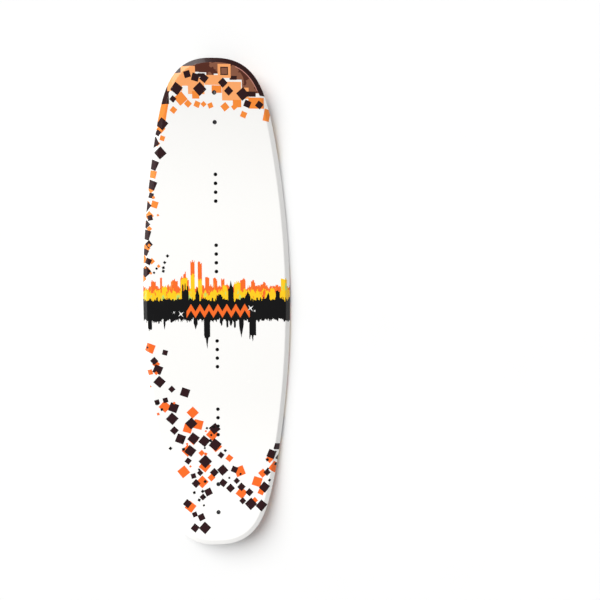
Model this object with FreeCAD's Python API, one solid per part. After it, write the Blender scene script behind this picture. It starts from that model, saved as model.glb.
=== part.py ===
import FreeCAD
import Part
import math
import os

# A bare wakeboard: a bi-directional foam board pressed between glass laminates, with a moulded
# urethane rail, a rockered base with four channels, threaded binding inserts and fin sleeves.
# Frame: X across the board, Y along it with the nose at +Y, Z up through the deck.
# The origin is under the middle of the board, on the floor that the flat of the base rests on.

# Plan shape
board_length = 1400.0
board_width = 430.0
taper = 0.42               # share of the width that the sides lose from the middle to a full tip
tip_power = 15.0           # higher makes the tips squarer
corner_power = 2.45        # higher makes the corners of the tips tighter
outline_points = 160       # points that the outline is drawn through, a multiple of four
along_steps = 60           # spans along the skins
across_steps = 24          # spans across the base skins, besides those over the channels
deck_across_steps = 6      # spans across the deck skins
channel_steps = 12         # spans over each channel

# Rocker: a flat middle, then a curve that lifts both tips
flat_half_length = 240.0
tip_lift = 55.0
rocker_power = 2.4

# Thickness, from the base face to the deck face
middle_thickness = 27.0
tip_thickness = 15.5
deck_crown = 3.0           # drop of the deck face from the centreline to the full half width

# Skins
base_sheet_thickness = 1.2
laminate_thickness = 1.0
topsheet_thickness = 0.8

# Rim section. Both printed skins wrap round it and leave a band of the rail showing between them.
rail_width = 16.0          # from the outer edge to the wall of the core
sheet_inset = 6.0          # where the base sheet starts to curl up, in from the outer edge
parting_height = 5.0       # middle of the band that shows, over the base
parting_width = 1.6        # height of that band
deck_curl_height = 3.5     # height of the deck skin's round above the band
deck_curl_depth = 2.4      # depth of that round, back from the outer edge
shoulder_width = 2.5       # soft shoulder where the bevel meets the deck
shoulder_drop = 0.7
round_steps = 4
# How much the shoulder and the round of the skin's inner face draw in, as shares of its depth
inner_shoulder_inset = 0.3
inner_round_depth = 0.4
inner_round_height = 0.8
tip_piece_length = 160.0   # how much of each end belongs to the nose and tail rails

# Base channels
inner_channel_offset = 65.0    # from the centreline
outer_channel_margin = 62.0    # from the widest line of the board
channel_width = 18.0
channel_depth = 3.0
channel_half_length = 320.0
channel_fade = 110.0

# Binding inserts: two groups per foot, of four inserts each, along the centreline
insert_pitch = 25.4
inserts_per_group = 4
group_spacing = 203.2      # between the two groups of one foot
stance = 482.6             # between the middles of the two feet
insert_bore_radius = 3.0
insert_neck_radius = 5.3
insert_flange_radius = 9.0
insert_flange_thickness = 1.8
insert_body_radius = 4.8
insert_flange_flat = 7.4    # from the axis to the flats that stop it turning
insert_groove = 0.7        # depth of the grooves that key the body into the core
insert_groove_places = (0.2, 0.6)    # up the body, as shares of its height
insert_length = 17.0
insert_recess = 0.4        # how far the head lies under the deck face
insert_floor = 2.0         # metal left under the blind bore
insert_chamfer = 0.5

# Glass plates that spread the insert loads
plate_thickness = 2.0
plate_width = 46.0
plate_margin = 18.0        # from the last insert to the end of the plate
plate_corner = 10.0

# Fin holes: one pair near each tip, square to the base between them
fin_pair_from_tip = 129.5
fin_hole_spacing = 81.0
fin_bore_radius = 3.3
fin_sleeve_radius = 6.0
fin_countersink_radius = 5.2
fin_countersink_depth = 1.8

half_length = board_length / 2
half_width = board_width / 2
outer_channel_offset = half_width - outer_channel_margin
channel_offsets = (
    -outer_channel_offset, -inner_channel_offset, inner_channel_offset, outer_channel_offset)
skins_over_core = topsheet_thickness + laminate_thickness
clear = 50.0               # how far cutting shapes pass beyond the board
tall = 2 * clear + tip_lift + middle_thickness
through = 2 * clear + middle_thickness


def rocker(y):
    """Height of the base over the floor."""
    rise = max(abs(y) - flat_half_length, 0.0) / (half_length - flat_half_length)
    return tip_lift * rise ** rocker_power


def thickness(x, y):
    along = middle_thickness - (middle_thickness - tip_thickness) * (y / half_length) ** 2
    return along - deck_crown * (x / half_width) ** 2


def smooth_step(value):
    value = min(max(value, 0.0), 1.0)
    return value * value * (3 - 2 * value)


def channel(x, y):
    """Depth of the base channels, which fade out towards both ends."""
    along = smooth_step((channel_half_length - abs(y)) / channel_fade)
    for offset in channel_offsets:
        across = abs(x - offset) / (channel_width / 2)
        if across < 1.0:
            return channel_depth * along * math.cos(across * math.pi / 2) ** 2
    return 0.0


def base_height(x, y, above=0.0):
    return rocker(y) + channel(x, y) + above


def deck_height(x, y, below=0.0):
    return rocker(y) + thickness(x, y) - below


def outline_value(x, y):
    """Below one inside the plan outline, one on it."""
    along = abs(y) / half_length
    across = abs(x) / (half_width * (1 - taper * along ** 2))
    return across ** corner_power + along ** tip_power


def edge_point(angle):
    """Where a ray, drawn on the board squeezed to a unit square, meets the outline."""
    near, far = 0.0, 1.5
    for _ in range(50):
        reach = (near + far) / 2
        if outline_value(reach * half_width * math.cos(angle), reach * half_length * math.sin(angle)) < 1:
            near = reach
        else:
            far = reach
    return FreeCAD.Vector(near * half_width * math.cos(angle), near * half_length * math.sin(angle), 0)


def outward(point):
    """Unit normal of the outline at one of its points."""
    step = 0.001
    across = outline_value(point.x + step, point.y) - outline_value(point.x - step, point.y)
    along = outline_value(point.x, point.y + step) - outline_value(point.x, point.y - step)
    return FreeCAD.Vector(across, along, 0).normalize()


def even_outline():
    """Points at even distances round the outline, from the middle of the right side."""
    quarter_count = outline_points // 4
    steps = 40 * quarter_count
    dense = [edge_point(math.pi / 2 * step / steps) for step in range(steps + 1)]
    distances = [0.0]
    for before, after in zip(dense, dense[1:]):
        distances.append(distances[-1] + before.distanceToPoint(after))
    quarter = []
    for index in range(quarter_count):
        wanted = distances[-1] * index / quarter_count
        step = next(k for k in range(steps) if distances[k + 1] >= wanted)
        share = (wanted - distances[step]) / (distances[step + 1] - distances[step])
        quarter.append(edge_point(math.pi / 2 * (step + share) / steps))
    turned = []
    for point in quarter[:0:-1]:
        turned.append(FreeCAD.Vector(-point.x, point.y, 0))
    upper = quarter + [FreeCAD.Vector(0, half_length, 0)] + turned
    return upper + [point * -1 for point in upper]


outline = even_outline()
normals = [outward(point) for point in outline]


def ring(inset, height):
    """A closed curve inside the outline by inset, at the height that a function of x and y gives."""
    points = []
    for point, normal in zip(outline, normals):
        place = point - normal * inset
        points.append(FreeCAD.Vector(place.x, place.y, height(place.x, place.y)))
    curve = Part.BSplineCurve()
    curve.interpolate(Points=points, PeriodicFlag=True, Parameters=list(range(len(points) + 1)))
    return curve.toShape()


def even_stations(reach, count):
    return [reach * (2 * step / count - 1) for step in range(count + 1)]


def base_stations():
    """Where base heights are taken across the board: close together over each channel."""
    stations = []
    for offset in channel_offsets:
        for step in range(-2, channel_steps + 3):
            stations.append(offset + channel_width * (step / channel_steps - 0.5))
    for place in even_stations(half_width + clear / 2, across_steps):
        if all(abs(place - station) > channel_width / 3 for station in stations):
            stations.append(place)
    return sorted(stations)


def spline_through(points, stations):
    """A cubic curve through points, with one knot at each station."""
    curve = Part.BSplineCurve()
    curve.interpolate(Points=points, Parameters=stations)
    return curve


def height_face(height, across):
    """A smooth face over the whole board, through the heights that a function of x and y gives."""
    along = even_stations(half_length + clear / 2, along_steps)
    rows = []
    for y in along:
        row = spline_through([FreeCAD.Vector(x, y, height(x, y)) for x in across], across)
        rows.append(row.getPoles())
    columns = [spline_through(list(poles), along) for poles in zip(*rows)]
    surface = Part.BSplineSurface()
    surface.buildFromPolesMultsKnots(
        [column.getPoles() for column in columns],
        row.getMultiplicities(), columns[0].getMultiplicities(),
        row.getKnots(), columns[0].getKnots(), False, False, row.Degree, columns[0].Degree)
    return surface.toShape()


def slab(lower, upper):
    """The solid between two height faces, over the whole board and past its edges."""
    sides = []
    for low, high in zip(lower.Wires[0].Edges, upper.Wires[0].Edges):
        sides.append(Part.makeRuledSurface(low, high))
    return Part.Solid(Part.Shell([lower, upper] + sides))


def cap(face, rim):
    """The part of a height face inside a closed curve that lies on it."""
    trimmed = Part.Face(face.Surface, Part.Wire([rim]))
    trimmed.validate()
    return trimmed


def close(faces):
    solid = Part.Solid(Part.Shell(faces))
    if solid.Volume < 0:
        solid.reverse()
    return solid


def bands(rings):
    """Ruled faces from each ring to the next."""
    return [Part.makeRuledSurface(first, last) for first, last in zip(rings, rings[1:])]


def layer(lower, upper, rings):
    """One sheet of the board: two height faces, joined round the edge through the rings."""
    return close([cap(lower, rings[0]), cap(upper, rings[-1])] + bands(rings))


def base_at(above):
    return lambda x, y: base_height(x, y, above)


def deck_at(below):
    return lambda x, y: deck_height(x, y, below)


def curl_turns():
    return [math.pi / 2 * step / round_steps for step in range(round_steps + 1)]


def base_curl(depth):
    """Rings up the round of the base sheet, on its outer face or at a depth into it."""
    rise = parting_height - parting_width / 2
    rings = []
    for turn in curl_turns():
        inset = sheet_inset - (sheet_inset - depth) * math.sin(turn)
        rings.append(ring(inset, base_at(rise - (rise - depth) * math.cos(turn))))
    return rings


def deck_curl(depth):
    """Rings down the bevel and the round of the deck skin, on its outer face or at a depth into it."""
    foot = parting_height + parting_width / 2
    shoulder_inset = rail_width - shoulder_width + inner_shoulder_inset * depth
    round_depth = deck_curl_depth - inner_round_depth * depth
    round_height = deck_curl_height - inner_round_height * depth
    rings = [ring(rail_width, deck_at(depth)), ring(shoulder_inset, deck_at(shoulder_drop + depth))]
    for turn in reversed(curl_turns()):
        inset = depth + round_depth * (1 - math.cos(turn))
        rings.append(ring(inset, base_at(foot + round_height * math.sin(turn))))
    return rings


def wall(low, high):
    """Rings at the foot and the head of the upright wall that the core and the laminates end at."""
    return [ring(rail_width, low), ring(rail_width, high)]


def make_rails():
    """The moulded rim between the skins, cut square across into two side rails and two tip rails."""
    rings = deck_curl(topsheet_thickness) + deck_curl(0.0)[-1:]
    rings += base_curl(0.0)[-1:] + base_curl(base_sheet_thickness)[::-1]
    rings.append(ring(rail_width, base_at(base_sheet_thickness)))
    rim = close(bands(rings + rings[:1]))
    joint = half_length - tip_piece_length
    reach = half_width + clear
    side = Part.makeBox(reach, 2 * joint, tall, FreeCAD.Vector(-reach, -joint, -clear))
    tip = Part.makeBox(2 * reach, tip_piece_length + clear, tall, FreeCAD.Vector(-reach, joint, -clear))
    pieces["left_rail"] = rim.common(side).Solids[0]
    pieces["right_rail"] = rim.common(side.mirror(FreeCAD.Vector(), FreeCAD.Vector(1, 0, 0))).Solids[0]
    pieces["nose_rail"] = rim.common(tip).Solids[0]
    pieces["tail_rail"] = rim.common(tip.mirror(FreeCAD.Vector(), FreeCAD.Vector(0, 1, 0))).Solids[0]


def make_insert(y, bored=True):
    """A blind threaded insert with its head just under the deck face and a flange under its plate."""
    top = deck_height(0, y) - insert_recess
    bottom = top - insert_length
    flange_ends = (y - insert_flange_radius, y + insert_flange_radius)
    under_plate = min(deck_height(insert_flange_radius, end) for end in flange_ends)
    flange_top = under_plate - skins_over_core - plate_thickness
    flange_bottom = flange_top - insert_flange_thickness
    bore_end = bottom + insert_floor
    profile = [(0, bottom), (insert_body_radius, bottom)]
    body = flange_bottom - bottom
    for share in insert_groove_places:
        groove = bottom + share * body
        profile.append((insert_body_radius, groove))
        profile.append((insert_body_radius - insert_groove, groove + insert_groove))
        profile.append((insert_body_radius - insert_groove, groove + 2 * insert_groove))
        profile.append((insert_body_radius, groove + 3 * insert_groove))
    profile += [
        (insert_body_radius, flange_bottom), (insert_flange_radius, flange_bottom),
        (insert_flange_radius, flange_top), (insert_neck_radius, flange_top), (insert_neck_radius, top)]
    if bored:
        profile += [(insert_bore_radius + insert_chamfer, top), (insert_bore_radius, top - insert_chamfer),
                    (insert_bore_radius, bore_end), (0, bore_end)]
    else:
        profile.append((0, top))
    corners = [FreeCAD.Vector(radius, y, height) for radius, height in profile]
    half = Part.Face(Part.makePolygon(corners + corners[:1]))
    turned = half.revolve(FreeCAD.Vector(0, y, 0), FreeCAD.Vector(0, 0, 1), 360)
    flats = Part.makeBox(2 * insert_flange_flat, 2 * clear, insert_length + clear,
                         FreeCAD.Vector(-insert_flange_flat, y - clear, bottom - clear / 2))
    return turned.common(flats).Solids[0]


def make_plate(y):
    """A glass plate under the top laminate, with a hole for each neck of its group."""
    length = (inserts_per_group - 1) * insert_pitch + 2 * plate_margin
    block = Part.makeBox(plate_width, length, tall,
                         FreeCAD.Vector(-plate_width / 2, y - length / 2, -clear))
    upright = [edge for edge in block.Edges if edge.BoundBox.ZLength > clear]
    return block.makeFillet(plate_corner, upright).common(plate_slab).Solids[0]


def rod(radius, y):
    """An upright cylinder through the whole board on the centreline."""
    return Part.makeCylinder(radius, tall, FreeCAD.Vector(0, y, -clear))


def fin_axes():
    """Base point and direction of each fin hole, nose pair first, outer hole of a pair first."""
    middle = half_length - fin_pair_from_tip
    step = 0.01
    slope = math.atan((rocker(middle + step) - rocker(middle - step)) / (2 * step))
    for end, tip in (("nose", 1), ("tail", -1)):
        for place, side in (("outer", 1), ("inner", -1)):
            reach = side * fin_hole_spacing / 2
            y = middle + reach * math.cos(slope)
            z = rocker(middle) + reach * math.sin(slope)
            direction = FreeCAD.Vector(0, -tip * math.sin(slope), math.cos(slope))
            yield end + "_" + place, FreeCAD.Vector(0, tip * y, z), direction


def deck_crossing(point, direction):
    """How far along a direction the deck face lies from a point under it."""
    distance = 0.0
    for _ in range(20):
        place = point + direction * distance
        distance += (deck_height(place.x, place.y) - place.z) / direction.z
    return distance


def make_fin_sleeve(point, direction):
    """A sleeve flush with both faces, countersunk from the deck for a screw head."""
    start = point - direction * clear
    blank = Part.makeCylinder(fin_sleeve_radius, through, start, direction)
    bore = Part.makeCylinder(fin_bore_radius, through, start, direction)
    slope = (fin_countersink_radius - fin_bore_radius) / fin_countersink_depth
    sink_length = 2 * fin_countersink_depth
    sink_start = point + direction * (deck_crossing(point, direction) - fin_countersink_depth)
    sink = Part.makeCone(fin_bore_radius, fin_bore_radius + slope * sink_length, sink_length,
                         sink_start, direction)
    return blank.common(whole_slab).cut(bore).cut(sink).Solids[0]


pieces = {}

under_deck = even_stations(half_width + clear / 2, deck_across_steps)
over_base = base_stations()
base_face = height_face(base_at(0.0), over_base)
sheet_face = height_face(base_at(base_sheet_thickness), over_base)
core_floor_face = height_face(base_at(base_sheet_thickness + laminate_thickness), over_base)
plate_floor_face = height_face(deck_at(skins_over_core + plate_thickness), under_deck)
core_top_face = height_face(deck_at(skins_over_core), under_deck)
laminate_face = height_face(deck_at(topsheet_thickness), under_deck)
deck_face = height_face(deck_at(0.0), under_deck)
plate_slab = slab(plate_floor_face, core_top_face)
whole_slab = slab(base_face, deck_face)

core_floor = base_at(base_sheet_thickness + laminate_thickness)
core_top = deck_at(skins_over_core)
pieces["base_sheet"] = layer(base_face, sheet_face, base_curl(0.0) + base_curl(base_sheet_thickness)[::-1])
pieces["base_laminate"] = layer(sheet_face, core_floor_face, wall(base_at(base_sheet_thickness), core_floor))
pieces["foam_core"] = layer(core_floor_face, core_top_face, wall(core_floor, core_top))
pieces["top_laminate"] = layer(core_top_face, laminate_face, wall(core_top, deck_at(topsheet_thickness)))
pieces["deck_topsheet"] = layer(laminate_face, deck_face, deck_curl(topsheet_thickness) + deck_curl(0.0)[::-1])
make_rails()

# Binding hardware: four groups, each with a plate and its row of inserts
for foot, foot_y in (("front", stance / 2), ("rear", -stance / 2)):
    tipward = 1 if foot_y > 0 else -1
    for group, offset in (("outer", tipward * group_spacing / 2), ("inner", -tipward * group_spacing / 2)):
        group_y = foot_y + offset
        plate = make_plate(group_y)
        pieces["foam_core"] = pieces["foam_core"].cut(plate)
        for index in range(inserts_per_group):
            y = group_y + (index - (inserts_per_group - 1) / 2) * insert_pitch
            pieces[f"{foot}_{group}_insert_{index + 1}"] = make_insert(y)
            passage = rod(insert_neck_radius, y)
            plate = plate.cut(passage)
            for skin in ("top_laminate", "deck_topsheet"):
                pieces[skin] = pieces[skin].cut(passage)
            pieces["foam_core"] = pieces["foam_core"].cut(make_insert(y, bored=False))
        pieces[f"{foot}_{group}_plate"] = plate

# Fin sleeves, through every layer
for name, point, direction in fin_axes():
    passage = Part.makeCylinder(fin_sleeve_radius, through, point - direction * clear, direction)
    for skin in ("base_sheet", "base_laminate", "foam_core", "top_laminate", "deck_topsheet"):
        pieces[skin] = pieces[skin].cut(passage)
    pieces[f"{name}_fin_sleeve"] = make_fin_sleeve(point, direction)

os.makedirs("parts", exist_ok=True)
for name, piece in pieces.items():
    piece.exportStep(f"parts/{name}.step")
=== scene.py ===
import bpy
import math
import random
from mathutils import Matrix, Vector


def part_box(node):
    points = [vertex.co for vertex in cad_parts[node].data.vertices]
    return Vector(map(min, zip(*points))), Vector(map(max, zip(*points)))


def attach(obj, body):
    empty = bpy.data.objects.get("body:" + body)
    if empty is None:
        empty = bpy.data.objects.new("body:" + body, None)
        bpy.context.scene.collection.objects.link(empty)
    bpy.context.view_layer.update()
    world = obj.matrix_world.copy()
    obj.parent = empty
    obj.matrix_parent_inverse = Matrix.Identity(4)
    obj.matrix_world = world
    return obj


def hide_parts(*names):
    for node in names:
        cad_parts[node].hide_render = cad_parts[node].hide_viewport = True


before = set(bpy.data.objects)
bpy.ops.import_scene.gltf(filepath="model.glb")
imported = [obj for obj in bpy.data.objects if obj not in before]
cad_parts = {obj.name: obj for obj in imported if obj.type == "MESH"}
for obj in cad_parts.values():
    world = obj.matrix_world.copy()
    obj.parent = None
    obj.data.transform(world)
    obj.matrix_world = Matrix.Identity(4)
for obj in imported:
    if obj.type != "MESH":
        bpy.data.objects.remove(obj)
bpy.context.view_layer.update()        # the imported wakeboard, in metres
print("stage: frame loaded,", len(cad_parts), "nodes")

# Shapes below are worked out in millimetres and put into the meshes in metres.
mm = 0.001

# The board's own shape, as its maker draws it
board = {
    "halfWidth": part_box("base_sheet")[1].x / mm,
    "halfLength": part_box("base_sheet")[1].y / mm,
    "taper": 0.42,               # share of the width that the sides lose towards the tips
    "tipPower": 15.0,
    "cornerPower": 2.45,
    "flatHalfLength": 240.0,
    "tipLift": 55.0,
    "rockerPower": 2.4,
    "middleThickness": 27.0,
    "tipThickness": 15.5,
    "deckCrown": 3.0,
    "channelOffsets": (-153.0, -65.0, 65.0, 153.0),
    "channelWidth": 18.0,
    "channelDepth": 3.0,
    "channelHalfLength": 320.0,
    "channelFade": 110.0,
}


def rocker(y):
    rise = max(abs(y) - board["flatHalfLength"], 0.0) / (board["halfLength"] - board["flatHalfLength"])
    return board["tipLift"] * rise ** board["rockerPower"]


def channelAt(x, y):
    share = min(max((board["channelHalfLength"] - abs(y)) / board["channelFade"], 0.0), 1.0)
    along = share * share * (3 - 2 * share)
    depth = 0.0
    for offset in board["channelOffsets"]:
        across = abs(x - offset) / (board["channelWidth"] / 2)
        if across < 1.0:
            depth = board["channelDepth"] * along * math.cos(across * math.pi / 2) ** 2
    return depth


def baseHeight(x, y):
    return rocker(y) + channelAt(x, y)


def deckHeight(x, y):
    loss = (board["middleThickness"] - board["tipThickness"]) * (y / board["halfLength"]) ** 2
    crown = board["deckCrown"] * (x / board["halfWidth"]) ** 2
    return rocker(y) + board["middleThickness"] - loss - crown


def outlineValue(x, y):
    # below one inside the outline, one on it
    along = abs(y) / board["halfLength"]
    across = abs(x) / (board["halfWidth"] * (1 - board["taper"] * along ** 2))
    return across ** board["cornerPower"] + along ** board["tipPower"]


def outlineSlope(place):
    step = 0.01
    across = outlineValue(place.x + step, place.y) - outlineValue(place.x - step, place.y)
    along = outlineValue(place.x, place.y + step) - outlineValue(place.x, place.y - step)
    return Vector((across, along)) / (2 * step)


def outlineAt(angle):
    # where a ray from the middle meets the outline, and the way out of the board there
    near, far = 0.0, 1.5        # the outline is well inside this reach on every side
    for _ in range(40):
        reach = (near + far) / 2
        x = reach * board["halfWidth"] * math.cos(angle)
        y = reach * board["halfLength"] * math.sin(angle)
        near, far = (reach, far) if outlineValue(x, y) < 1 else (near, reach)
    place = Vector((x, y))
    return place, outlineSlope(place).normalized()


def nearestEdge(place, inset):
    # the outline point that a place about this far inside it belongs to
    out = outlineSlope(place).normalized()
    for _ in range(8):
        edge = place + out * inset
        slope = outlineSlope(edge)
        edge -= slope * ((outlineValue(edge.x, edge.y) - 1) / slope.length_squared)
        out = outlineSlope(edge).normalized()
    return edge, out


# Printed skins: a flat sheet inside the rim, then a section that carries it round the rim

cutSpacing = 12.0
acrossCuts = [cutSpacing * step for step in range(-17, 18)]
lengthCuts = [cutSpacing * step for step in range(-57, 58)]
deckSkin = {
    "name": "deckSheet",
    "node": "deck_topsheet",
    "height": deckHeight,
    "faceUp": True,
    "rimInset": 19.0,
    "thickness": 0.8,
    "crossCuts": acrossCuts,
    "shoulderInset": 13.5,       # where the bevel meets the deck, in from the outer edge
    "shoulderDrop": 0.7,
    "shoulderHalf": 2.2,         # half width of the soft shoulder
    "round": (2.4, 3.5),         # width and height of the round at the foot of the bevel
    "foot": 5.8,                 # height over the base at which the skin ends on the rail
    "holes": "both",
}
baseSkin = {
    "name": "baseSheet",
    "node": "base_sheet",
    "height": baseHeight,
    "faceUp": False,
    "rimInset": 6.0,
    "thickness": 1.2,
    "crossCuts": None,           # worked out from the channels
    "round": (6.0, 4.2),
    "holes": "fins",
}
rimPoints = 480
curlSteps = 7


def channelCuts():
    # close together over each channel, and as wide apart as elsewhere between them
    cuts = []
    for offset in board["channelOffsets"]:
        cuts += [offset + board["channelWidth"] * step / 12 for step in range(-7, 8)]
    cuts += [place for place in acrossCuts if all(abs(place - cut) > 5.0 for cut in cuts)]
    return sorted(cuts)


def deckRim(edge, out):
    # soft shoulder, straight bevel and a round down to the rail, as insets and heights over the base
    inner = edge - out * deckSkin["shoulderInset"]
    high = deckHeight(inner.x, inner.y) - rocker(inner.y)
    wide, tall = deckSkin["round"]
    foot = deckSkin["foot"]
    slope = 1.0
    for _ in range(8):
        # the bevel leaves the round where both lean the same way
        turn = math.atan2(tall, wide * slope)
        heel = (wide * (1 - math.cos(turn)), foot + tall * math.sin(turn))
        slope = (high - deckSkin["shoulderDrop"] - heel[1]) / (deckSkin["shoulderInset"] - heel[0])
    corner = deckSkin["shoulderInset"] + deckSkin["shoulderDrop"] / slope
    half = deckSkin["shoulderHalf"]
    places = []
    for step in range(curlSteps + 1):
        run = 2 * half * step / curlSteps
        places.append((corner + half - run, high - slope * run ** 2 / (4 * half)))
    top = places[-1]
    for share in (1 / 3, 2 / 3):
        places.append((top[0] + (heel[0] - top[0]) * share, top[1] + (heel[1] - top[1]) * share))
    for step in range(curlSteps + 1):
        lean = turn * (1 - step / curlSteps)
        places.append((wide * (1 - math.cos(lean)), foot + tall * math.sin(lean)))
    return places


def baseRim(edge, out):
    wide, tall = baseSkin["round"]
    places = []
    for step in range(1, curlSteps + 2):
        turn = math.pi / 2 * step / (curlSteps + 1)
        places.append((wide * (1 - math.sin(turn)), tall * (1 - math.cos(turn))))
    return places


def deselectAll():
    bpy.ops.object.select_all(action="DESELECT")


def keyOf(vertex):
    return (round(vertex.co.x, 7), round(vertex.co.y, 7), round(vertex.co.z, 7))


def selectedVertices(piece):
    return [vertex for vertex in piece.data.vertices if vertex.select]


def cutFlat(skin):
    # the flat sheet inside the rim, cut across and along so that it can take the board's curves
    deselectAll()
    bpy.ops.mesh.primitive_circle_add(vertices=rimPoints, radius=1.0, fill_type="NGON")
    piece = bpy.context.object
    piece.name = skin["name"]
    for vertex in piece.data.vertices:
        edge, out = outlineAt(math.atan2(vertex.co.y, vertex.co.x))
        place = (edge - out * skin["rimInset"]) * mm
        vertex.co = (place.x, place.y, 0.0)
    bpy.ops.object.mode_set(mode="EDIT")
    for cut in skin["crossCuts"]:
        bpy.ops.mesh.select_all(action="SELECT")
        bpy.ops.mesh.bisect(plane_co=(cut * mm, 0, 0), plane_no=(1, 0, 0))
    for cut in lengthCuts:
        bpy.ops.mesh.select_all(action="SELECT")
        bpy.ops.mesh.bisect(plane_co=(0, cut * mm, 0), plane_no=(0, 1, 0))
    bpy.ops.mesh.select_all(action="SELECT")
    bpy.ops.mesh.remove_doubles(threshold=0.0005)
    bpy.ops.mesh.select_all(action="DESELECT")
    bpy.ops.mesh.select_mode(type="EDGE")
    bpy.ops.mesh.select_non_manifold(extend=False, use_wire=False, use_boundary=True,
                                     use_multi_face=False, use_non_contiguous=False, use_verts=False)
    bpy.ops.object.mode_set(mode="OBJECT")
    return piece


def carryRound(piece, skin, rim):
    # lifts the sheet to its height, then extrudes its open edge round the rim, ring by ring
    edges = {}
    for vertex in piece.data.vertices:
        place = Vector((vertex.co.x, vertex.co.y)) / mm
        if vertex.select:
            edge, out = nearestEdge(place, skin["rimInset"])
            place = edge - out * skin["rimInset"]
        vertex.co = (place.x * mm, place.y * mm, skin["height"](place.x, place.y) * mm)
        if vertex.select:
            edges[keyOf(vertex)] = (edge, out, rim(edge, out))
    for ring in range(len(next(iter(edges.values()))[2])):
        bpy.ops.object.mode_set(mode="EDIT")
        bpy.ops.mesh.extrude_region_move()
        bpy.ops.object.mode_set(mode="OBJECT")
        moved = {}
        for vertex in selectedVertices(piece):
            edge, out, places = edges[keyOf(vertex)]
            inset, height = places[ring]
            place = edge - out * inset
            vertex.co = (place.x * mm, place.y * mm, (rocker(place.y) + height) * mm)
            moved[keyOf(vertex)] = (edge, out, places)
        edges = moved


def applyModifier(piece, kind, settings):
    modifier = piece.modifiers.new(kind.title(), kind)
    for name, value in settings.items():
        setattr(modifier, name, value)
    deselectAll()
    piece.select_set(True)
    bpy.context.view_layer.objects.active = piece
    bpy.ops.object.modifier_apply(modifier=modifier.name)


def faceOutward(piece, up):
    rise = sum(polygon.normal.z * polygon.area for polygon in piece.data.polygons)
    if (rise > 0) != up:
        bpy.ops.object.mode_set(mode="EDIT")
        bpy.ops.mesh.select_all(action="SELECT")
        bpy.ops.mesh.flip_normals()
        bpy.ops.object.mode_set(mode="OBJECT")


# Holes through the skins: a straight cutter with a flare where it leaves the printed face

def rockerSlope(y):
    step = 0.01
    return (rocker(y + step) - rocker(y - step)) / (2 * step)


holes = {
    "insertRadius": 5.3,
    "sleeveRadius": 6.0,
    "flare": 0.35,
    "sides": 40,
    "depth": 4.0,
    "finsFromTip": 129.5,        # middle of a pair of fin holes
}


def cutterAt(name, radius, place, direction):
    deselectAll()
    bpy.ops.mesh.primitive_cylinder_add(vertices=holes["sides"], radius=radius * mm,
                                        depth=2 * holes["depth"] * mm, end_fill_type="NGON")
    cutter = bpy.context.object
    cutter.name = name
    bpy.ops.object.mode_set(mode="EDIT")
    bpy.ops.mesh.select_all(action="SELECT")
    bpy.ops.mesh.bisect(plane_co=(0, 0, -holes["flare"] * mm), plane_no=(0, 0, 1))
    bpy.ops.mesh.select_all(action="DESELECT")
    bpy.ops.object.mode_set(mode="OBJECT")
    for vertex in cutter.data.vertices:
        vertex.select = vertex.co.z > 0
    bpy.ops.object.mode_set(mode="EDIT")
    widened = (radius + holes["flare"] + holes["depth"]) / radius
    bpy.ops.transform.resize(value=(widened, widened, 1))
    bpy.ops.object.mode_set(mode="OBJECT")
    turn = Vector((0, 0, 1)).rotation_difference(Vector(direction))
    cutter.data.transform(turn.to_matrix().to_4x4())
    for vertex in cutter.data.vertices:
        vertex.co += Vector(place) * mm
    return cutter


def nodeMiddle(node):
    low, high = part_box(node)
    return (low + high) / 2 / mm


def sleeveCut(node, skin):
    # a cutter where a fin sleeve meets the printed face
    side = 1 if skin["faceUp"] else -1
    middle = nodeMiddle(node)
    tip = 1 if middle.y > 0 else -1
    lean = math.atan(rockerSlope(board["halfLength"] - holes["finsFromTip"]))
    direction = Vector((0, -tip * math.sin(lean), math.cos(lean)))
    place = middle.copy()
    for _ in range(20):
        place += direction * ((skin["height"](place.x, place.y) - place.z) / direction.z)
    return cutterAt("cut", holes["sleeveRadius"], place, direction * side)


def cutHoles(piece, skin):
    cutters = []
    for node in sorted(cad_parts):
        if "insert" in node and skin["holes"] == "both":
            y = nodeMiddle(node).y
            cutters.append(cutterAt("cut", holes["insertRadius"], (0, y, deckHeight(0, y)), (0, 0, 1)))
        if "sleeve" in node:
            cutters.append(sleeveCut(node, skin))
    deselectAll()
    for cutter in cutters:
        cutter.select_set(True)
    bpy.context.view_layer.objects.active = cutters[0]
    bpy.ops.object.join()
    cutter = bpy.context.object
    applyModifier(piece, "BOOLEAN", {"operation": "DIFFERENCE", "object": cutter, "solver": "EXACT"})
    bpy.data.objects.remove(cutter)


printMap = {
    "margin": 14.0,              # room past the outline for the rim, laid out flat
    "strip": 0.03,               # share of the map for the hidden inner face
    "level": 2.0,                # how far a face may sink and still be laid out from above
    "slack": 0.995,
}


def layPrintMap(piece, skin):
    # the bake's map: the two halves of the board side by side, and the hidden inner face in a strip
    layer = piece.data.uv_layers.new(name="OFBake")
    halfLength = board["halfLength"] + printMap["margin"]
    halfWidth = board["halfWidth"] + printMap["margin"]
    strip = printMap["strip"]
    side = 1 if skin["faceUp"] else -1
    for polygon in piece.data.polygons:
        hidden = polygon.normal.z * side < -0.05
        half = 0 if polygon.center.y > 0 else 1
        for corner in polygon.loop_indices:
            place = piece.data.vertices[piece.data.loops[corner].vertex_index].co / mm
            across = 0.5 + 0.5 * place.x / halfWidth
            along = abs(place.y) / halfLength
            if hidden:
                layer.uv[corner].vector = (0.5 * (half + across), 1 - strip + strip * along)
                continue
            sink = side * (skin["height"](place.x, place.y) - place.z) - printMap["level"]
            if sink > 0:
                out = outlineSlope(Vector((place.x, place.y))).normalized() * sink / 2
                across += 0.5 * out.x / halfWidth
                along += abs(out.y) / halfLength
            laid = (1 - strip) * min(along, 1.0) * printMap["slack"]
            layer.uv[corner].vector = (0.5 * (half + across), laid)


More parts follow.
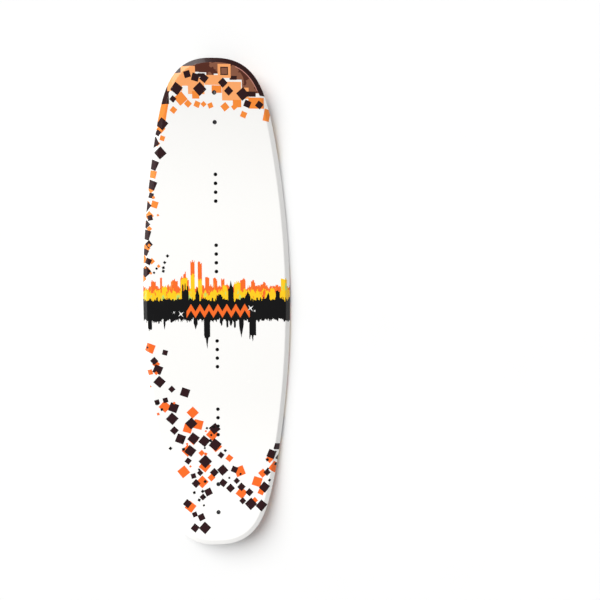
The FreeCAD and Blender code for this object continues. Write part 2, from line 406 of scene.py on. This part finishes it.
def smooth(piece, degrees):
    deselectAll()
    piece.select_set(True)
    bpy.context.view_layer.objects.active = piece
    bpy.ops.object.shade_smooth_by_angle(angle=math.radians(degrees))


def printedSkin(skin, rim):
    piece = cutFlat(skin)
    carryRound(piece, skin, rim)
    faceOutward(piece, skin["faceUp"])
    applyModifier(piece, "SOLIDIFY", {"thickness": skin["thickness"] * mm, "offset": -1.0,
                                      "use_rim": True, "use_even_offset": True})
    cutHoles(piece, skin)
    layPrintMap(piece, skin)
    smooth(piece, 32)
    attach(piece, "root")
    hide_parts(skin["node"])
    print("stage:", skin["name"], len(piece.data.polygons), "faces")
    return piece


baseSkin["crossCuts"] = channelCuts()
deckSheet = printedSkin(deckSkin, deckRim)
baseSheet = printedSkin(baseSkin, baseRim)


# Threads cut in the bores of the inserts

thread = {
    "boreRadius": 3.04,
    "depth": 0.42,
    "pitch": 1.0,
    "widthShare": 0.84,          # of the pitch that one turn of the thread takes up
    "turns": 12,
    "steps": 28,
    "startBelowTop": 13.6,
}


def threadCoil():
    deselectAll()
    bpy.ops.mesh.primitive_circle_add(vertices=3, radius=1.0, fill_type="NOTHING")
    coil = bpy.context.object
    half = thread["pitch"] * thread["widthShare"] / 2
    corners = ((thread["boreRadius"], half), (thread["boreRadius"], -half),
               (thread["boreRadius"] - thread["depth"], 0.0))
    for vertex, (radius, height) in zip(coil.data.vertices, corners):
        vertex.co = (radius * mm, 0.0, height * mm)
    applyModifier(coil, "SCREW", {"axis": "Z", "angle": 2 * math.pi, "screw_offset": thread["pitch"] * mm,
                                  "iterations": thread["turns"], "steps": thread["steps"],
                                  "render_steps": thread["steps"], "use_merge_vertices": False})
    bpy.ops.object.mode_set(mode="EDIT")
    bpy.ops.mesh.select_all(action="SELECT")
    bpy.ops.mesh.fill_holes(sides=3)
    bpy.ops.mesh.select_all(action="SELECT")
    bpy.ops.mesh.normals_make_consistent(inside=False)
    bpy.ops.object.mode_set(mode="OBJECT")
    return coil


coil = threadCoil()
threadPieces = []
for node in sorted(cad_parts):
    if "insert" not in node:
        continue
    low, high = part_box(node)
    piece = bpy.data.objects.new(node + "_thread", coil.data.copy())
    bpy.context.scene.collection.objects.link(piece)
    start = Vector((0.0, (low.y + high.y) / 2, high.z - thread["startBelowTop"] * mm))
    for vertex in piece.data.vertices:
        vertex.co += start
    smooth(piece, 40)
    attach(piece, "root")
    threadPieces.append(piece)
bpy.data.objects.remove(coil)
print("stage: threads", len(threadPieces))


# Node maths written as Python expressions

class Signal:
    # an output of a node, or the empty start of a material's tree
    def __init__(self, tree, socket=None):
        self.tree = tree
        self.socket = socket

    def node(self, kind, settings, values, output=0):
        made = self.tree.nodes.new("ShaderNode" + kind)
        for name, value in settings.items():
            setattr(made, name, value)
        for name, value in values.items():
            if isinstance(value, Signal):
                self.tree.links.new(value.socket, made.inputs[name])
            else:
                made.inputs[name].default_value = value
        return Signal(self.tree, made.outputs[output])

    def __getitem__(self, output):
        return Signal(self.tree, self.socket.node.outputs[output])

    def maths(self, operation, *values):
        return self.node("Math", {"operation": operation}, dict(enumerate(values)))

    def __add__(self, other):
        return self.maths("ADD", self, other)

    def __radd__(self, other):
        return self.maths("ADD", other, self)

    def __sub__(self, other):
        return self.maths("SUBTRACT", self, other)

    def __rsub__(self, other):
        return self.maths("SUBTRACT", other, self)

    def __mul__(self, other):
        return self.maths("MULTIPLY", self, other)

    def __rmul__(self, other):
        return self.maths("MULTIPLY", other, self)

    def __truediv__(self, other):
        return self.maths("DIVIDE", self, other)

    def __abs__(self):
        return self.maths("ABSOLUTE", self)

    def __lt__(self, other):
        return self.maths("LESS_THAN", self, other)

    def __gt__(self, other):
        return self.maths("GREATER_THAN", self, other)

    def highest(self, other):
        return self.maths("MAXIMUM", self, other)

    def floored(self):
        return self.maths("FLOOR", self)

    def near(self, middle, reach):
        return self.maths("COMPARE", self, middle, reach)

    def along(self, direction):
        return self.node("VectorMath", {"operation": "DOT_PRODUCT"}, {0: self, 1: direction}, "Value")

    def over(self, mask, colour):
        # this colour with another painted over it where the mask is one
        return self.node("Mix", {"data_type": "RGBA"}, {0: mask, 6: self, 7: colour}, 2)

    def noise(self, scale, detail=2.0, roughness=0.5, distortion=0.0):
        values = {"Vector": self, "Scale": scale, "Detail": detail, "Roughness": roughness,
                  "Distortion": distortion}
        return self.node("TexNoise", {"noise_dimensions": "3D"}, values)

    def stretched(self, scale, turn=0.0, shift=(0, 0, 0)):
        values = {"Vector": self, "Scale": scale, "Rotation": (0, 0, turn), "Location": shift}
        return self.node("Mapping", {}, values)


def colour(text):
    # an ink's screen colour as linear light
    parts = [int(text[index:index + 2], 16) / 255 for index in (0, 2, 4)]
    linear = [part / 12.92 if part <= 0.04045 else ((part + 0.055) / 1.055) ** 2.4 for part in parts]
    return (*linear, 1.0)


inks = {
    "white": colour("F4F3F0"),
    "black": colour("040405"),
    "soot": colour("1A0A0B"),
    "darkSquare": colour("2A0E12"),
    "darkLine": colour("090304"),
    "orange": colour("F26A24"),
    "amber": colour("F48A35"),
    "peach": colour("FBA868"),
    "yellow": colour("FBC81A"),
    "paleYellow": colour("FFF2A8"),
    "moss": colour("B9D66A"),
    "capBrown": colour("55291C"),
    "capLight": colour("8A5740"),
    "capDark": colour("2C100F"),
    # colour of the painted highlight along the nose's shoulder
    "capLine": colour("C98A7E"),
    "lime": colour("A9D02E"),
    "limeShade": colour("86B31C"),
}


def newMaterial(name):
    material = bpy.data.materials.new(name)
    material.use_nodes = True
    tree = material.node_tree
    shader = next(node for node in tree.nodes if node.type == "BSDF_PRINCIPLED")
    start = Signal(tree)
    place = start.node("VectorMath", {"operation": "SCALE"},
                       {"Vector": start.node("TexCoord", {}, {}, "Object"), "Scale": 1 / mm})
    return material, shader, place


def setInput(shader, name, value):
    if isinstance(value, Signal):
        value.tree.links.new(value.socket, shader.inputs[name])
    else:
        shader.inputs[name].default_value = value


def bumped(height, strength, distance):
    values = {"Height": height, "Strength": strength, "Distance": distance}
    return height.node("Bump", {}, values, "Normal")


# Printed artwork

squares = {
    "border": 1.3,
    "gap": 0.62,                 # least distance of two neighbours, as a share of both sides
    "turns": (45, 45, 45, 20, 70),
    "wobble": 7,
    "past": 1.12,                # how far past the outline a square may lie
}


def scatter(dice, path, count, spread, sizes):
    # squares thrown along a path, with none much over its neighbour
    thrown = []
    lengths = [(end - start).length for start, end in zip(path, path[1:])]
    for _ in range(count * 30):
        if len(thrown) == count:
            break
        reach = dice.random() * sum(lengths)
        leg = 0
        while reach > lengths[leg] and leg < len(lengths) - 1:
            reach -= lengths[leg]
            leg += 1
        place = path[leg].lerp(path[leg + 1], reach / lengths[leg])
        place = place + Vector((dice.gauss(0, spread), dice.gauss(0, spread)))
        side = dice.choice(sizes) * dice.uniform(0.92, 1.06)
        turn = math.radians(dice.choice(squares["turns"])
                            + dice.uniform(-squares["wobble"], squares["wobble"]))
        clear = all((place - other[0]).length > squares["gap"] * (side + other[1]) for other in thrown)
        if clear and outlineValue(place.x, place.y) < squares["past"]:
            thrown.append((place, side, turn))
    return thrown


def middleLines(place, x, y, turn):
    # places measured along a turned box's two sides, and where its middle lies on both
    cos, sin = math.cos(turn), math.sin(turn)
    return place.along((cos, sin, 0)), x * cos + y * sin, place.along((-sin, cos, 0)), y * cos - x * sin


def box(place, x, y, wide, long, turn):
    # one inside a turned box
    across, acrossMiddle, up, upMiddle = middleLines(place, x, y, turn)
    return across.near(acrossMiddle, wide / 2) * up.near(upMiddle, long / 2)


def printSquares(art, place, zone, thrown, fill, line=None):
    # only the squares that reach into this zone of the board
    for at, side, turn in thrown:
        if not zone[0] - side < at.y < zone[1] + side:
            continue
        across, acrossMiddle, up, upMiddle = middleLines(place, at.x, at.y, turn)
        half = side / 2
        if line is not None:
            art = art.over(across.near(acrossMiddle, half) * up.near(upMiddle, half), line)
            half -= squares["border"]
        art = art.over(across.near(acrossMiddle, half) * up.near(upMiddle, half), fill)
    return art


def teeth(along, width, height, seed):
    lot = (along / width + seed).floored()
    return along.node("TexWhiteNoise", {"noise_dimensions": "1D"}, {"W": lot}, "Value") * height


def roofline(along, towers, ground, seed, grain):
    # roofs over a street: random ones as width and height, and towers given as place, half width,
    # height and slope
    (wide, wideRise), (narrow, narrowRise), (fine, fineRise) = grain
    roofs = teeth(along, wide, wideRise, seed).highest(teeth(along, narrow, narrowRise, seed + 40))
    roofs = roofs + ground
    for centre, halfWidth, height, slope in towers:
        off = abs(along - centre)
        roofs = roofs.highest((off < halfWidth) * height - off * slope)
    return roofs + teeth(along, fine, fineRise, seed + 80)


def ribbon(along, across, step, swing, width):
    # a bold zigzag band that swings from side to side
    swingNow = (along.maths("PINGPONG", along, step) * (2 / step) - 1) * swing
    return abs(across - swingNow) < width


def sparkles(art, place, lot, ink):
    # each one is two thin crossed lozenges, given as place and size
    for x, y, size in lot:
        for turn in (0.62, 2.25):
            across, acrossMiddle, up, upMiddle = middleLines(place, x, y, turn)
            reach = abs(across - acrossMiddle) * (11 / size) + abs(up - upMiddle) * (2 / size)
            art = art.over(reach < 1.0, ink)
    return art


deckArt = {
    "seed": 11,
    "zones": (-720.0, -480.0, -132.0, 144.0, 480.0, 720.0),    # the cuts that part its materials
    "capHeight": 650.0,
    "capSteps": ((44, 1, 16), (78, 1, 36), (-88, -1, 14), (-128, -1, 50)),
    # unturned blocks under the cap, as place, width, length, turn and ink
    "noseBlocks": (
        (-72, 650, 40, 52, 0.0, "peach"), (-110, 634, 42, 48, 0.0, "peach"),
        (-50, 624, 46, 44, 0.0, "peach"), (-52, 600, 20, 20, 0.0, "amber"),
        (-2, 640, 48, 26, 0.0, "peach"), (7, 616, 28, 20, 0.0, "amber"),
        (49, 611, 54, 50, 0.0, "peach"), (64, 578, 24, 20, 0.0, "amber"),
        (87, 606, 20, 30, 0.0, "peach"), (118, 580, 44, 30, 0.0, "amber"),
        (148, 548, 18, 34, -0.2, "amber"), (-148, 546, 26, 68, -0.2, "amber"),
        (-94, 590, 28, 28, 0.7, "amber"),
        (-35, 652, 20, 10, 0.0, "capDark"), (56, 647, 16, 9, 0.0, "capDark"),
        (103, 604, 28, 14, 0.0, "capDark"), (-138, 588, 22, 26, 0.0, "capDark"),
    ),
    "frame": (29, 664, 36),
    "rimDark": (13.5, 592.0),                # width of the cap's dark rim, and where it ends
    "rimLine": (15.0, 612.0, 60.0),          # painted highlight: a pale line along the shoulder, and where it begins
    # towers as place, half width, height and slope of the roof
    "orangeTowers": ((-69, 6, 128, 0), (-48, 6, 123, 0), (-96, 9, 82, 0.4), (-92, 4, 93, 0),
                     (-27, 6, 80, 0.3), (-160, 3, 80, 0.2), (-182, 7, 72, 0.5), (-122, 10, 74, 0.3),
                     (-4, 6, 80, 1), (18, 5, 78, 1), (76, 8, 77, 0.6), (106, 6, 72, 1), (136, 7, 66, 1)),
    "yellowTowers": ((-92, 12, 76, 0), (-69, 6, 88, 0), (-48, 6, 74, 0), (60, 9, 68, 0.5),
                     (196, 9, 76, 0), (-150, 8, 56, 0.5), (24, 7, 60, 0.5)),
    "blackTowers": ((-91, 10, 46, 0.3), (-98, 2, 60, 0), (-91, 1.5, 63, 2), (-84, 2, 57, 0),
                    (-56, 6, 50, 3.2), (41, 8, 56, 0.8), (41, 5, 70, 4.5), (90, 8, 38, 1.6),
                    (178, 6, 42, 0.6), (8, 9, 32, 0.6), (150, 4, 38, 3)),
    "reflections": ((-29, 9, 96, 1.4), (-29, 4, 120, 7), (71, 7, 92, 6.0), (104, 10, 86, 0.4),
                    (104, 3, 98, 4), (96, 2, 92, 2), (-194, 6, 66, 0.5), (-62, 6, 66, 3), (30, 3, 58, 1),
                    (41, 4, 56, 2), (52, 3, 60, 2), (-152, 3, 62, 5), (12, 4, 54, 2)),
    "tag": {"x": 4.0, "y": -13, "reach": 92.0, "step": 13.0, "swing": 11.0, "width": 9.5},
    "sparkles": ((-104, -22, 22), (-124, -17, 10), (98, -6, 22), (110, -14, 10)),
    # the teeth of a roofline, wide, narrow and fine, as width and height
    "streetGrain": ((15.0, 9.0), (5.0, 11.0), (2.3, 7.0)),
    "glowGrain": ((13.0, 14.0), (6.0, 16.0), (2.6, 9.0)),
    "sizes": {"big": (27.5, 27.0, 26.0, 19.0, 18.0, 15.0), "middle": (20.0, 16.0, 13.0),
              "small": (8.0, 6.0), "speck": (7.5, 6.0)},
    "paths": {
        "fringe": ((-130, 560), (-90, 574), (-36, 580), (23, 572), (78, 556)),
        "leftSide": ((-148, 530), (-172, 430), (-190, 330), (-202, 200), (-207, 90)),
        "cap": ((-125, 600), (-74, 640), (7, 637), (45, 615), (132, 570)),
        "fall": ((-196, -130), (-175, -205), (-143, -280), (-95, -345), (-62, -430), (-50, -520),
                 (-72, -650)),
        "branch": ((-12, -355), (5, -430), (30, -480), (60, -535), (105, -570), (148, -520),
                   (160, -405)),
        "specks": ((-196, 104), (-152, 104), (-150, 150)),
    },
    # path, count, spread, sizes, fill and line
    "throws": (
        ("fringe", 8, 6, "middle", "amber", None),
        ("leftSide", 18, 7, "middle", "amber", None),
        ("fall", 15, 18, "big", "orange", None),
        ("branch", 11, 12, "big", "orange", None),
        ("cap", 11, 10, "big", "darkSquare", "darkLine"),
        ("leftSide", 15, 7, "big", "darkSquare", "darkLine"),
        ("fall", 28, 22, "big", "darkSquare", "darkLine"),
        ("branch", 19, 14, "big", "darkSquare", "darkLine"),
        ("fall", 16, 30, "small", "darkLine", None),
        ("branch", 11, 24, "small", "darkLine", None),
        ("fall", 8, 32, "small", "orange", None),
        ("leftSide", 8, 16, "small", "amber", None),
        ("specks", 7, 6, "speck", "black", None),
    ),
}


def nosePrint(art, place, x, y):
    # brown cap with a stepped edge, its dark bevel, a painted highlight line along the right shoulder, and
    # the blocks under it
    capEdge = deckArt["capHeight"] + teeth(x, 21.0, 12.0, 5)
    for start, side, drop in deckArt["capSteps"]:
        capEdge = capEdge - (x * side > start * side) * drop
    rim = place.node("Attribute", {"attribute_name": "rimDistance"}, {}, "Fac")
    shine = place.noise(0.02, 3.0, 0.6)
    cap = (y > capEdge)
    art = art.over(cap, inks["capBrown"])
    art = art.over(cap * (shine > 0.52), inks["capLight"])
    wide, low = deckArt["rimDark"]
    art = art.over((rim < wide) * (y > low + teeth(x, 30.0, 10.0, 9)), inks["capDark"])
    # a pale pink line along the shoulder of the bevel, on the right of the nose: a painted highlight
    inset, low, start = deckArt["rimLine"]
    art = art.over(rim.near(inset, 1.0) * (y > low) * (x > start), inks["capLine"])
    for *block, ink in deckArt["noseBlocks"]:
        art = art.over(box(place, *block), inks[ink])
    frameX, frameY, side = deckArt["frame"]
    for share, ink in ((1.0, "peach"), (0.6, "capDark"), (0.45, "capLight")):
        art = art.over(box(place, frameX, frameY, side * share, side * share, 0.0), inks[ink])
    return art


def skylinePrint(art, place, x, y):
    # a city across the middle in three layers, with its reflection below and a zigzag tag
    glow = place.stretched((1.0, 0.3, 1.0)).noise(0.07, 3.0, 0.65)
    up = y > 0
    far = up * (y < roofline(x, deckArt["orangeTowers"], 44.0, 17, deckArt["glowGrain"]))
    art = art.over(far, inks["orange"])
    art = art.over(far * (glow > 0.6), inks["amber"])
    yellowTop = roofline(x, deckArt["yellowTowers"], 32.0, 31, deckArt["glowGrain"])
    art = art.over(up * (y < yellowTop), inks["yellow"])
    art = art.over(up * (y < yellowTop - 6) * (glow > 0.6), inks["moss"])
    art = art.over(up * (y < yellowTop) * (glow < 0.38), inks["orange"])
    roofs = roofline(x, deckArt["blackTowers"], 12.0, 53, deckArt["streetGrain"])
    drops = roofline(x, deckArt["reflections"], 32.0, 71, deckArt["streetGrain"])
    art = art.over((y < roofs) * (0 - y < drops), inks["black"])
    tag = deckArt["tag"]
    band = ribbon(x + 400, y - tag["y"], tag["step"], tag["swing"], tag["width"])
    art = art.over(band * x.near(tag["x"], tag["reach"]), inks["orange"])
    return sparkles(art, place, deckArt["sparkles"], inks["white"])


def throwSquares():
    # every loose square of the deck, with its fill and line, in the order they are printed
    dice = random.Random(deckArt["seed"])
    thrown = []
    for path, count, spread, sizes, fill, line in deckArt["throws"]:
        points = [Vector(at) for at in deckArt["paths"][path]]
        thrown.append((scatter(dice, points, count, spread, deckArt["sizes"][sizes]), fill, line))
    return thrown


def deckPrint(place, zone):
    parts = place.node("SeparateXYZ", {}, {"Vector": place})
    x, y = parts["X"], parts["Y"]
    art = place.node("RGB", {}, {})
    art.socket.default_value = inks["white"]
    if zone[1] > deckArt["capHeight"]:
        art = nosePrint(art, place, x, y)
    if zone[0] < 0 < zone[1]:
        art = skylinePrint(art, place, x, y)
    for thrown, fill, line in looseSquares:
        art = printSquares(art, place, zone, thrown, inks[fill], line and inks[line])
    return art


baseArt = {
    # towers as place, half width, height and slope of the roof
    "rightTowers": ((565, 22, 150, 0), (612, 13, 112, 0), (640, 9, 94, 0), (502, 12, 110, 0),
                    (426, 5, 164, 3.5), (400, 12, 116, 0), (360, 26, 108, 0), (300, 20, 112, 0),
                    (166, 34, 168, 2.2), (95, 26, 140, 0), (34, 29, 230, 0), (-70, 36, 112, 0),
                    (-186, 28, 134, 0), (-268, 26, 196, 4.4), (-366, 30, 230, 0), (-440, 20, 96, 0),
                    (-505, 14, 84, 0), (-590, 16, 76, 0)),
    "leftTowers": ((600, 20, 70, 0), (520, 16, 66, 0), (440, 16, 82, 0), (392, 14, 80, 0),
                   (322, 20, 76, 0), (236, 27, 158, 0), (236, 18, 186, 0.6), (244, 5, 200, 0),
                   (150, 24, 118, 0.6), (120, 16, 184, 6.0), (40, 36, 108, 0), (-20, 30, 112, 0),
                   (-186, 27, 206, 0), (-240, 20, 110, 0), (-304, 27, 112, 0.4), (-304, 6, 128, 0),
                   (-392, 4, 88, 0), (-500, 16, 82, 0), (-503, 3, 118, 0), (-606, 18, 114, 0),
                   (-650, 10, 76, 0)),
    "grain": ((17.0, 9.0), (7.0, 10.0), (3.1, 9.0)),
    "rightGround": 64.0,
    "leftGround": 40.0,
    "tag": {"x": 10.0, "y": -75, "reach": 370, "step": 62.0, "swing": 30.0, "width": 24.0},
    "slit": {"shift": 4, "reach": 350, "width": 4.0},
    "sparkles": ((44, 296, 44), (77, 233, 66), (85, 43, 40), (0, -421, 56), (77, -373, 28),
                 (5, -493, 34)),
}


def sprayPrint(art, place, x, y):
    # sprayed orange and yellow along the right side of the board, with pale outlines and splashes
    big = place.stretched((1.0, 1.0, 1.0), 0.3).noise(0.014, 2.0, 0.55, 0.6)
    fine = place.stretched((0.55, 1.6, 1.0), -0.2, (90, 30, 0)).noise(0.02, 3.0, 0.6, 0.8)
    spray = (x > 40) * (x + fine * 40 < 300)
    art = art.over(spray, inks["orange"])
    art = art.over(spray * (big > 0.5), inks["yellow"])
    art = art.over(spray * (abs(big - 0.5) < 0.006), inks["paleYellow"])
    art = art.over(spray * (abs(fine - 0.58) < 0.008), inks["paleYellow"])
    art = art.over((fine > 0.66) * (x > 90), inks["white"])
    # a stretch where the bare white of the sheet bites into the colour
    bite = (x + teeth(y, 5.0, 26.0, 3) > 205 - (abs(y - 330) < 95) * 26) * (abs(y - 300) < 190)
    return art.over(bite, inks["white"])


def basePrint(place):
    parts = place.node("SeparateXYZ", {}, {"Vector": place})
    x, y = parts["X"], parts["Y"]
    art = place.node("RGB", {}, {})
    art.socket.default_value = inks["white"]
    art = sprayPrint(art, place, x, y)

    # black city down the middle, one roofline to each side
    rightRoofs = roofline(y, baseArt["rightTowers"], baseArt["rightGround"], 7, baseArt["grain"])
    leftRoofs = roofline(y, baseArt["leftTowers"], baseArt["leftGround"], 23, baseArt["grain"])
    city = (x < rightRoofs) * (0 - x < leftRoofs)
    art = art.over(city, inks["black"])
    art = art.over(city * (place.noise(0.006, 1.0) > 0.5) * (x < 0), inks["soot"])

    # a green zigzag band instead of lettering
    tag, slit = baseArt["tag"], baseArt["slit"]
    off = x - tag["x"]
    middle = abs(y - tag["y"])
    band = ribbon(y + 1400, off, tag["step"], tag["swing"], tag["width"]) * (middle < tag["reach"])
    art = art.over(band, inks["lime"])
    art = art.over(band * (off > tag["swing"]), inks["limeShade"])
    gap = ribbon(y + 1400, off - slit["shift"], tag["step"], tag["swing"], slit["width"])
    art = art.over(gap * (middle < slit["reach"]), inks["black"])
    return sparkles(art, place, baseArt["sparkles"], inks["paleYellow"])


def glossPrint(name, art):
    # ink under a clear gloss, with faint smudges and scratches
    material, shader, place = newMaterial(name)
    ink = art(place)
    smudge = place.noise(0.012, 4.0, 0.6)
    mottle = place.noise(1.6, 2.0, 0.5)
    scratch = place.stretched((0.9, 0.012, 1.0), 0.12).noise(1.0, 2.0, 0.6)
    scratches = (scratch > 0.69) * (place.noise(0.02, 2.0) > 0.5)
    shade = ink.node("HueSaturation", {}, {"Color": ink, "Value": 0.97 + mottle * 0.05})
    setInput(shader, "Base Color", shade)
    setInput(shader, "Roughness", 0.16 + smudge * 0.16 + scratches * 0.16)
    setInput(shader, "Normal", bumped(place.noise(0.16, 2.0), 0.05, 0.3 * mm))
    setInput(shader, "Specular IOR Level", 0.2)
    setInput(shader, "Coat Weight", 0.15)
    setInput(shader, "Coat Roughness", 0.04)
    return material


def rimDistances(piece, reach):
    # how far each point of a skin is from the outline, up to a reach, for the print at the rim
    layer = piece.data.attributes.new("rimDistance", "FLOAT", "POINT")
    values = []
    for vertex in piece.data.vertices:
        place = Vector((vertex.co.x, vertex.co.y)) / mm
        slope = outlineSlope(place) if place.length > 1 else Vector((1, 0))
        distance = max(0.0, (1 - outlineValue(place.x, place.y)) / max(slope.length, 1e-6))
        if distance < reach and place.length > 50:
            out = slope.normalized()
            near, far = 0.0, reach
            for _ in range(14):
                middle = (near + far) / 2
                probe = place + out * middle
                near, far = (middle, far) if outlineValue(probe.x, probe.y) < 1 else (near, middle)
            distance = near
        values.append(min(distance, reach))
    layer.data.foreach_set("value", values)


def wear(piece, material):
    piece.data.materials.clear()
    piece.data.materials.append(material)


def wearZones(piece, name, art, borders):
    # one material for each zone of the print, because a single one would be too large to render
    piece.data.materials.clear()
    for index, zone in enumerate(zip(borders, borders[1:])):
        piece.data.materials.append(glossPrint(f"{name}{index + 1}", lambda place: art(place, zone)))
    for polygon in piece.data.polygons:
        passed = sum(polygon.center.y / mm > border for border in borders[1:-1])
        polygon.material_index = passed


looseSquares = throwSquares()
rimDistances(deckSheet, 60.0)
wearZones(deckSheet, "deckPrint", deckPrint, deckArt["zones"])
wear(baseSheet, glossPrint("basePrint", basePrint))
print("stage: printed skins")


# Finishes of the other pieces

def railUrethane():
    material, shader, place = newMaterial("railUrethane")
    flow = place.stretched((1, 0.1, 1)).noise(0.3, 3.0)
    grain = place.noise(2.2, 2.0)
    pale = place.node("Mix", {"data_type": "RGBA"}, {0: flow, 6: colour("D9DADA"), 7: colour("BFC1C2")}, 2)
    setInput(shader, "Base Color", pale)
    setInput(shader, "Roughness", 0.42 + grain * 0.16)
    setInput(shader, "Normal", bumped(grain, 0.2, 0.1 * mm))
    setInput(shader, "Subsurface Weight", 0.1)
    return material


def insertBrass():
    # black oxide over brass, rubbed through a little
    material, shader, place = newMaterial("insertBlackBrass")
    rub = place.noise(0.7, 4.0, 0.6)
    bare = (rub > 0.66)
    tone = place.node("Mix", {"data_type": "RGBA"}, {0: bare, 6: colour("0B0B0D"), 7: colour("3A2C1A")}, 2)
    setInput(shader, "Base Color", tone)
    setInput(shader, "Metallic", 0.35 + bare * 0.5)
    setInput(shader, "Roughness", 0.34 + rub * 0.2)
    setInput(shader, "Normal", bumped(place.noise(3.0, 2.0), 0.15, 0.1 * mm))
    return material


def sleeveNylon():
    material, shader, place = newMaterial("sleeveNylon")
    grain = place.noise(1.4, 3.0)
    tone = place.node("Mix", {"data_type": "RGBA"}, {0: grain, 6: colour("26262A"), 7: colour("3A3A3F")}, 2)
    setInput(shader, "Base Color", tone)
    setInput(shader, "Roughness", 0.4 + grain * 0.2)
    setInput(shader, "Normal", bumped(grain, 0.2, 0.1 * mm))
    return material


def glassCloth(name, resin, fibre, pitch):
    # crossed glass yarns under resin
    material, shader, place = newMaterial(name)
    parts = place.node("SeparateXYZ", {}, {"Vector": place})
    over = parts["X"].maths("SINE", parts["X"] * (math.pi / pitch))
    under = parts["Y"].maths("SINE", parts["Y"] * (math.pi / pitch))
    weave = abs(over) * 0.5 + abs(under) * 0.5 + (over * under > 0) * 0.25
    drift = place.noise(0.02, 2.0)
    tone = place.node("Mix", {"data_type": "RGBA"}, {0: weave * 0.6 + drift * 0.3, 6: resin, 7: fibre}, 2)
    setInput(shader, "Base Color", tone)
    setInput(shader, "Roughness", 0.3 + weave * 0.2)
    setInput(shader, "Normal", bumped(weave, 0.4, 0.2 * mm))
    return material


def coreFoam():
    material, shader, place = newMaterial("coreFoam")
    cells = place.node("TexVoronoi", {"feature": "DISTANCE_TO_EDGE"}, {"Vector": place, "Scale": 1.6}, 0)
    drift = place.noise(0.01, 2.0)
    tone = place.node("Mix", {"data_type": "RGBA"}, {0: drift, 6: colour("E9D9A8"), 7: colour("D8C48C")}, 2)
    setInput(shader, "Base Color", tone)
    setInput(shader, "Roughness", 0.85 + drift * 0.1)
    setInput(shader, "Normal", bumped(cells, 0.6, 0.4 * mm))
    return material


finishes = {
    "rail": railUrethane(),
    "insert": insertBrass(),
    "sleeve": sleeveNylon(),
    "laminate": glassCloth("glassLaminate", colour("C9D2C2"), colour("EEF1EA"), 2.4),
    "plate": glassCloth("insertPlateGlass", colour("8FA58C"), colour("C7D3C2"), 3.2),
    "core": coreFoam(),
    "topsheet": deckSheet.data.materials[0],
    "base_sheet": baseSheet.data.materials[0],
}
for node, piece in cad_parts.items():
    word = next(word for word in finishes if word in node)
    wear(piece, finishes[word])
    if word in ("rail", "sleeve", "insert"):
        smooth(piece, 25)
for piece in threadPieces:
    wear(piece, finishes["insert"])
print("stage: finishes")


# Studio

studio = {
    "floorSize": 60.0,
    "floorDrop": 0.0002,
    "cameraDistance": 2.037,
    "cameraTurns": (-3.06, 4.76, 0.66),      # about the board's length, its width and the view
    "aim": (6.84, 0.53),                     # how far right of and above the board the camera looks
    "lens": 41.6,
    "sun": 3.15,
    "sunWidth": 48,
    "sunDirection": (0.62, -0.58, -0.83),
    "horizon": 0.9,                          # strength of the sky there, and overhead
    "overhead": 0.41,
    "skyRise": 0.34,                         # upward part of the direction from which it stays dim
}


def layFloor():
    deselectAll()
    bpy.ops.mesh.primitive_plane_add(size=studio["floorSize"], location=(0, 0, -studio["floorDrop"]))
    floor = bpy.context.object
    floor.name = "floor"
    floor.data.transform(floor.matrix_world)
    floor.matrix_world.identity()
    material, shader, place = newMaterial("paleFloor")
    cloud = place.noise(0.003, 2.0)
    tone = place.node("Mix", {"data_type": "RGBA"}, {0: cloud, 6: colour("F5F5F4"), 7: colour("F2F2F1")}, 2)
    setInput(shader, "Base Color", tone)
    setInput(shader, "Roughness", 0.9)
    wear(floor, material)


def skyLight():
    sun = bpy.data.lights.new("keySun", "SUN")
    sun.energy = studio["sun"]
    sun.angle = math.radians(studio["sunWidth"])
    lamp = bpy.data.objects.new("keySun", sun)
    bpy.context.scene.collection.objects.link(lamp)
    lamp.rotation_mode = "QUATERNION"
    lamp.rotation_quaternion = Vector(studio["sunDirection"]).to_track_quat("-Z", "Y")
    # a sky that is as pale as the floor at the horizon and dimmer overhead
    world = bpy.data.worlds.new("studioWorld")
    world.use_nodes = True
    background = world.node_tree.nodes["Background"]
    sky = Signal(world.node_tree)
    rise = sky.node("SeparateXYZ", {}, {"Vector": sky.node("TexCoord", {}, {}, "Generated")}, "Z")
    span = {"Value": rise, "From Min": 0.0, "From Max": studio["skyRise"],
            "To Min": studio["horizon"], "To Max": studio["overhead"]}
    setInput(background, "Strength", sky.node("MapRange", {"interpolation_type": "SMOOTHSTEP"}, span))
    setInput(background, "Color", (0.98, 0.985, 1.0, 1.0))
    bpy.context.scene.world = world
    bpy.context.scene.view_settings.view_transform = "Standard"


def standCamera():
    data = bpy.data.cameras.new("camera")
    data.lens = studio["lens"]
    camera = bpy.data.objects.new("camera", data)
    bpy.context.scene.collection.objects.link(camera)
    bpy.context.scene.camera = camera
    along, across, roll = (math.radians(turn) for turn in studio["cameraTurns"])
    right, up = (math.radians(turn) for turn in studio["aim"])
    tilt = Matrix.Rotation(roll, 3, "Z") @ Matrix.Rotation(across, 3, "X") @ Matrix.Rotation(along, 3, "Y")
    stand = tilt.transposed()
    camera.location = stand @ Vector((0, 0, studio["cameraDistance"]))
    camera.location.z += board["middleThickness"] * mm
    look = stand @ Matrix.Rotation(-right, 3, "Y") @ Matrix.Rotation(up, 3, "X")
    camera.rotation_mode = "QUATERNION"
    camera.rotation_quaternion = look.to_quaternion()


layFloor()
skyLight()
standCamera()
print("stage: studio")
